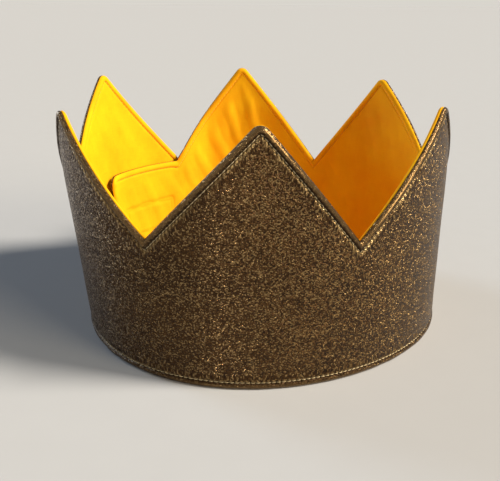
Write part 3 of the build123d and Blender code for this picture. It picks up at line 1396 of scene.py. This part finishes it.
class Crown:
    """The whole crown: two cloths, their stitches, the core between them and the two tapes."""

    def __init__(self) -> None:
        """Lay out the strip and its stitching."""
        self.strip = Strip(StripSizes())
        self.stitches = StitchSizes()
        self.stitching = Stitching(self.strip, self.stitches)
        gold_feel = Feel(
            sink=0.88 * MM,
            pucker=0.30 * MM,
            bead_ripple=0.14 * MM,
            swell=0.30 * MM,
            wrinkle=0.0,
            tape_sink=0.5 * MM,
        )
        lining_feel = Feel(
            sink=0.60 * MM,
            pucker=0.14 * MM,
            bead_ripple=0.12 * MM,
            swell=0.20 * MM,
            wrinkle=0.85 * MM,
            tape_sink=1.05 * MM,
        )
        sizes = self.strip.sizes
        gold_back, lining_back = sizes.skin - sizes.gold_ply, sizes.skin - sizes.lining_ply
        self.gold = Cloth(self.strip, self.stitching, Face.GOLD, gold_back, gold_feel)
        self.lining = Lining(self.strip, self.stitching, Face.LINING, lining_back, lining_feel)

    def cloths(self) -> None:
        """The gold cloth outside and the yellow lining inside."""
        margin = self.strip.sizes.allowance
        size = self.strip.cut_size(margin)
        area = self.strip.cut_area(margin)
        plans = (
            (self.gold, "gold_cloth", GoldLeatherette().material(), "gold_shell", "gold_leatherette"),
            (self.lining, "lining_cloth", YellowCotton().material(), "yellow_lining", "yellow_cotton"),
        )
        for cloth, name, paint, node, finish in plans:
            piece = cloth.build(name, paint)
            attach(piece, finish, node)

    def threads(self) -> None:
        """The stitches on both faces."""
        bronze = TwistedThread("bronze_thread", (0.50, 0.38, 0.20), (0.86, 0.72, 0.46), 0.5)
        golden = TwistedThread("golden_thread", (0.72, 0.36, 0.02), (0.93, 0.56, 0.05))
        outer = Thread(self.gold, self.stitches).build("gold_stitches", bronze.material())
        inner = Thread(self.lining, self.stitches).build("lining_stitches", golden.material())
        attach(outer, "gold_leatherette")
        attach(inner, "yellow_cotton")

    def core(self) -> None:
        """The stiff felt between the cloths."""
        strip, sizes = self.strip, self.strip.sizes
        inset = sizes.allowance + sizes.core_margin
        short = strip.turn(sizes.allowance + sizes.end_slack)
        angles = strip.stations(2.0 * MM, strip.outer_end + short, strip.tongue_end - short)
        inner = sizes.core_gap + sizes.lining_ply - sizes.skin
        outer = sizes.skin - sizes.gold_ply - sizes.core_gap
        piece = Band(strip, inner, outer, 0.0).build(
            "stiffener_felt",
            StiffFelt().material(),
            angles,
            lambda angle: strip.foot_line(angle, inset),
            lambda angle: strip.top_line(angle, inset),
        )
        attach(piece, "white_felt", "stiffener")
        strip.cut_size(-inset)
        strip.cut_area(-inset)

    def tapes(self) -> None:
        """The hook tape on the tongue and the loop tape on the outer end."""
        strip, sizes = self.strip, self.strip.sizes
        start = strip.inner_foot + strip.turn(sizes.tape_start)
        low = sizes.tape_middle - sizes.tape_height / 2
        high = sizes.tape_middle + sizes.tape_height / 2
        hook = sizes.skin + sizes.tape_gap
        loop = -hook - sizes.tape_thickness
        plans = (
            ("hook_strip", "hook_tape", "hook_nylon", False, start, sizes.hook_length, hook),
            ("loop_strip", "loop_tape", "loop_nylon", True, start - 360, sizes.loop_length, loop),
        )
        for name, node, finish, pile, begin, length, inner in plans:
            band = Band(strip, inner, inner + sizes.tape_thickness, sizes.tape_edge)
            angles = strip.stations(1.0 * MM, begin, begin + strip.turn(length))
            paint = FasteningTape(finish, pile).material()
            piece = band.build(name, paint, angles, lambda angle: low, lambda angle: high, rows=16)
            attach(piece, finish, node)


@dataclass(frozen=True)
class Lamp:
    """One soft lamp of the studio, on a bearing from the front round to the right."""

    name: str
    bearing: float
    rise: float
    spread: float
    power: float
    colour: tuple[float, float, float]

    def hang(self) -> None:
        """Add the lamp, so far away that it lights the whole floor alike."""
        light = bpy.data.lights.new(self.name, "SUN")
        light.angle = math.radians(self.spread)
        light.energy = self.power
        light.color = self.colour
        lamp = bpy.data.objects.new(self.name, light)
        bearing, rise = math.radians(self.bearing), math.radians(self.rise)
        level = math.cos(rise)
        towards = Vector((math.sin(bearing) * level, -math.cos(bearing) * level, math.sin(rise)))
        lamp.location = towards
        lamp.rotation_euler = towards.to_track_quat("Z", "Y").to_euler()
        bpy.context.scene.collection.objects.link(lamp)


@dataclass(frozen=True)
class Studio:
    """Floor, light and camera.

    The camera's azimuth, rise and roll are in degrees, and its distance and the place that it looks
    at, aside and above the ring's middle, are in radii of the ring.
    """

    lamps: tuple[Lamp, ...] = (
        Lamp("key", 78.0, 43.0, 16.0, 4.7, (1.0, 0.95, 0.86)),
        Lamp("front", 52.0, 18.0, 26.0, 1.8, (1.0, 0.88, 0.66)),
        Lamp("rim", -124.0, 18.0, 20.0, 1.6, (0.62, 0.80, 1.0)),
        Lamp("fill", -60.0, 34.0, 40.0, 0.12, (0.66, 0.80, 1.0)),
    )
    world: tuple[float, float, float] = (0.10, 0.10, 0.11)
    backdrop: tuple[float, float, float] = (0.694, 0.665, 0.610)
    azimuth: float = -2.75
    rise: float = 20.85
    roll: float = 0.482
    distance: float = 3.8125
    aside: float = -0.059
    above: float = 0.394
    focal_length: float = 45.0
    sensor: float = 36.0
    nearest: float = 0.01
    floor_half: float = 40.0

    def floor(self) -> None:
        """The plain floor that the crown stands on."""
        shape = bmesh.new()
        bmesh.ops.create_grid(shape, x_segments=8, y_segments=8, size=self.floor_half)
        piece = to_object(shape, "floor", PaleFloor().material())

    def room(self) -> None:
        """The even light of the room, which the camera and reflections see as the pale backdrop."""
        world = bpy.data.worlds.new("room")
        world.use_nodes = True
        nodes, links = world.node_tree.nodes, world.node_tree.links
        path = nodes.new("ShaderNodeLightPath")
        seen = nodes.new("ShaderNodeMath")
        seen.operation = "MAXIMUM"
        links.new(path.outputs["Is Camera Ray"], seen.inputs[0])
        links.new(path.outputs["Is Glossy Ray"], seen.inputs[1])
        blend = nodes.new("ShaderNodeMix")
        blend.data_type = "RGBA"
        links.new(seen.outputs[0], blend.inputs["Factor"])
        blend.inputs[Recipe.mix_first].default_value = (*self.world, 1.0)
        blend.inputs[Recipe.mix_last].default_value = (*self.backdrop, 1.0)
        links.new(blend.outputs[Recipe.mix_result], nodes["Background"].inputs["Color"])
        nodes["Background"].inputs["Strength"].default_value = 1.0
        bpy.context.scene.world = world
        bpy.context.scene.view_settings.view_transform = "Standard"

    def camera(self) -> None:
        """The camera at the photograph's viewing angle."""
        azimuth, rise, roll = (math.radians(turn) for turn in (self.azimuth, self.rise, self.roll))
        unit = StripSizes().ring_radius
        side = self.aside * unit
        target = Vector((side * math.cos(azimuth), side * math.sin(azimuth), self.above * unit))
        level = math.cos(rise)
        back = Vector((math.sin(azimuth) * level, -math.cos(azimuth) * level, math.sin(rise)))
        right = (-back).cross(Vector((0, 0, 1))).normalized()
        above = right.cross(-back)
        turned = right * math.cos(roll) + above * math.sin(roll)
        raised = above * math.cos(roll) - right * math.sin(roll)
        lens = bpy.data.cameras.new("camera")
        lens.sensor_width = self.sensor
        lens.lens = self.focal_length
        lens.clip_start = self.nearest
        eye = bpy.data.objects.new("camera", lens)
        frame = Matrix((turned, raised, back)).transposed().to_4x4()
        frame.translation = target + back * (self.distance * unit)
        eye.matrix_world = frame
        bpy.context.scene.collection.objects.link(eye)
        bpy.context.scene.camera = eye

    def build(self) -> None:
        """Set up the whole studio."""
        self.floor()
        for lamp in self.lamps:
            lamp.hang()
        self.room()
        self.camera()


def main() -> None:
    """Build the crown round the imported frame."""
    logging.basicConfig(level=logging.INFO)
    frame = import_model()
    LOG.info("nodes: %s", ", ".join(frame["nodes"]))
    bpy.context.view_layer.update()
    crown = Crown()
    crown.core()
    crown.cloths()
    crown.threads()
    crown.tapes()
    Studio().build()


if __name__ == "__main__":
    main()
